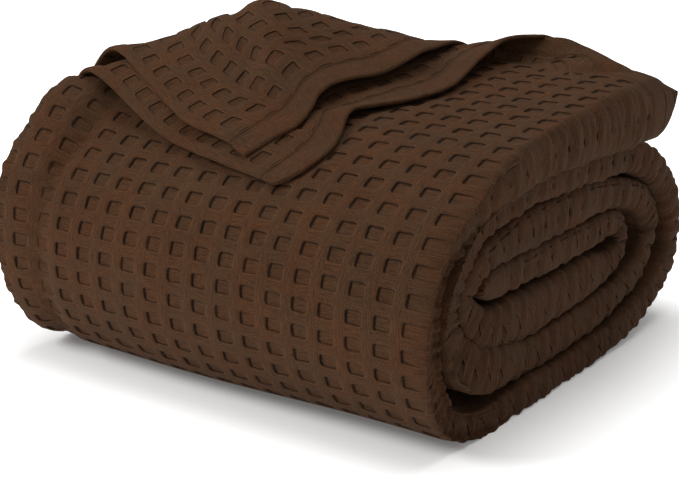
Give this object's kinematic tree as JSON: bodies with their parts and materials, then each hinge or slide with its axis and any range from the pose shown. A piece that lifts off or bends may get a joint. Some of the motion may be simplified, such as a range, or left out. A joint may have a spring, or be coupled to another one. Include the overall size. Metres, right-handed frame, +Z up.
{
  "type": "folded waffle weave blanket",
  "caption": "Waffle weave cotton blanket folded lengthwise and rolled up flat, its outer end on top with one corner of two plies turned back over it.",
  "frame": {"origin": "a point of the flat underside that the roll rests on, under the middle of the strip's width", "axes": "+X along the roll, towards its open end where the coil shows best; +Y from the rounded front to the back, where the outer hem lies; +Z up"},
  "size_m": [0.411, 0.3977, 0.264],
  "materials": {
    "waffle cotton": "matt brown waffle weave cotton"
  },
  "bodies": {
    "root": {"blanket": "waffle cotton"}
  },
  "joints": []
}
